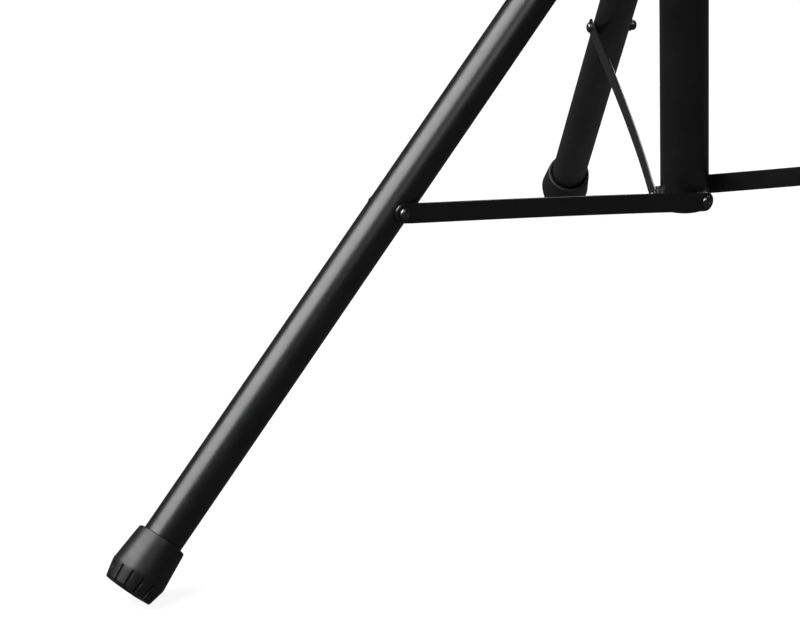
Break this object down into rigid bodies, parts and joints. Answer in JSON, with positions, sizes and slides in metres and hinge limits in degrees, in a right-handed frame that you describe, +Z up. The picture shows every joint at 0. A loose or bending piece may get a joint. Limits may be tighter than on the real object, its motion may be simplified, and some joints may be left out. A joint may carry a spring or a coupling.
{
  "type": "music stand",
  "caption": "Folding music stand: three round legs with flat braces and ribbed rubber feet on a sliding hub, telescoping column with clamp knobs, and a tilting sheet-metal desk with a ledge.",
  "frame": {"origin": "in the middle of the box around the three feet, at the height of the floor; the column's axis is at y = -85.4 mm", "axes": "+Z up along the column; -Y is the side of the reader, who faces the desk; the rear leg points to +Y"},
  "size_m": [0.6216, 0.5418, 1.0831],
  "materials": {
    "black_paint": "satin powder coat",
    "black_plastic": "fine grain",
    "liner_plastic": "smooth",
    "washer_plastic": "smooth",
    "friction_fibre": "pressed fibre",
    "foot_rubber": "moulded, satin",
    "black_steel": "blackened, polished by wear",
    "bare_steel": "zinc plated",
    "brass": "turned"
  },
  "bodies": {
    "stand_base": {"lower_tube": "black_paint", "lower_tube_plug": "black_plastic", "brace_standoffs": "black_paint", "brace_rivets": "black_steel", "hub_stop_ring": "black_paint", "height_clamp_body": "black_paint", "height_clamp_bushing": "black_plastic", "height_clamp_screws": "black_steel"},
    "height_knob": {"height_knob": "black_plastic", "height_knob_stud": "bare_steel"},
    "hub": {"leg_hub": "black_paint", "hub_liner": "liner_plastic", "hub_clamp_pad": "brass", "hub_bolts": "black_steel", "hub_nuts": "black_steel", "hub_washers": "washer_plastic"},
    "hub_knob": {"hub_knob": "black_plastic", "hub_knob_stud": "bare_steel"},
    "front_left_leg": {"front_left_leg_tube": "black_paint", "front_left_leg_plug": "black_plastic", "front_left_foot": "foot_rubber", "front_left_knee_bolt": "black_steel", "front_left_knee_nut": "black_steel"},
    "front_right_leg": {"front_right_leg_tube": "black_paint", "front_right_leg_plug": "black_plastic", "front_right_foot": "foot_rubber", "front_right_knee_bolt": "black_steel", "front_right_knee_nut": "black_steel"},
    "rear_leg": {"rear_leg_tube": "black_paint", "rear_leg_plug": "black_plastic", "rear_foot": "foot_rubber", "rear_knee_bolt": "black_steel", "rear_knee_nut": "black_steel"},
    "front_left_brace": {"front_left_brace": "black_paint", "front_left_brace_bolt_head": "black_steel"},
    "front_right_brace": {"front_right_brace": "black_paint", "front_right_brace_bolt_head": "black_steel"},
    "rear_brace": {"rear_brace": "black_paint", "rear_brace_bolt_head": "black_steel"},
    "height_slider": {"upper_tube_bushing": "liner_plastic"},
    "column": {"upper_tube": "black_paint", "tilt_head": "black_paint", "tilt_friction_washers": "friction_fibre"},
    "desk": {"desk_panel": "black_paint", "desk_bracket": "black_paint", "desk_rivets": "black_steel", "tilt_bolt": "black_steel", "tilt_bolt_washer": "bare_steel"},
    "tilt_knob": {"tilt_knob": "black_plastic", "tilt_knob_insert": "brass"}
  },
  "joints": [
    {"name": "hub_slide", "type": "slide", "parent": "stand_base", "child": "hub", "axis": [0, 0, 1], "range_m": [0, 0.22193]},
    {"name": "front_left_leg_fold", "type": "hinge", "parent": "hub", "child": "front_left_leg", "pos_m": [-0.02598, -0.10038, 0.30693], "axis": [0.5, -0.866, 0], "range_deg": [0, 46.8]},
    {"name": "front_right_leg_fold", "type": "hinge", "parent": "hub", "child": "front_right_leg", "pos_m": [0.02598, -0.10038, 0.30693], "axis": [0.5, 0.866, 0], "range_deg": [0, 46.8]},
    {"name": "rear_leg_fold", "type": "hinge", "parent": "hub", "child": "rear_leg", "pos_m": [0, -0.05538, 0.30693], "axis": [-1, 0, 0], "range_deg": [0, 46.8]},
    {"name": "front_left_brace_fold", "type": "hinge", "parent": "stand_base", "child": "front_left_brace", "pos_m": [0, -0.08538, 0.121], "axis": [-0.5, 0.866, 0], "range_deg": [0, 70]},
    {"name": "front_right_brace_fold", "type": "hinge", "parent": "stand_base", "child": "front_right_brace", "pos_m": [0, -0.08538, 0.121], "axis": [-0.5, -0.866, 0], "range_deg": [0, 70]},
    {"name": "rear_brace_fold", "type": "hinge", "parent": "stand_base", "child": "rear_brace", "pos_m": [0, -0.08538, 0.121], "axis": [1, 0, 0], "range_deg": [0, 70]},
    {"name": "hub_knob_turn", "type": "hinge", "parent": "hub", "child": "hub_knob", "pos_m": [0, -0.12538, 0.33293], "axis": [0, -1, 0], "range_deg": [0, 720]},
    {"name": "height_knob_turn", "type": "hinge", "parent": "stand_base", "child": "height_knob", "pos_m": [0.04, -0.08538, 0.62], "axis": [1, 0, 0], "range_deg": [0, 720]},
    {"name": "height_slide", "type": "slide", "parent": "stand_base", "child": "height_slider", "axis": [0, 0, 1], "range_m": [-0.1, 0.28]},
    {"name": "desk_swivel", "type": "hinge", "parent": "height_slider", "child": "column", "pos_m": [0, -0.08538, 0.819], "axis": [0, 0, 1], "continuous": true},
    {"name": "desk_tilt", "type": "hinge", "parent": "column", "child": "desk", "pos_m": [0, -0.08538, 0.849], "axis": [-1, 0, 0], "range_deg": [-20, 70]},
    {"name": "tilt_knob_turn", "type": "hinge", "parent": "desk", "child": "tilt_knob", "pos_m": [0.025, -0.08538, 0.849], "axis": [1, 0, 0], "range_deg": [0, 720]}
  ],
  "couplings": [
    {"joint": "front_left_leg_fold", "follows": "hub_slide", "rad_per_m": 3.6789},
    {"joint": "front_right_leg_fold", "follows": "hub_slide", "rad_per_m": 3.6789},
    {"joint": "rear_leg_fold", "follows": "hub_slide", "rad_per_m": 3.6789},
    {"joint": "front_left_brace_fold", "follows": "hub_slide", "rad_per_m": 5.5034},
    {"joint": "front_right_brace_fold", "follows": "hub_slide", "rad_per_m": 5.5034},
    {"joint": "rear_brace_fold", "follows": "hub_slide", "rad_per_m": 5.5034}
  ]
}
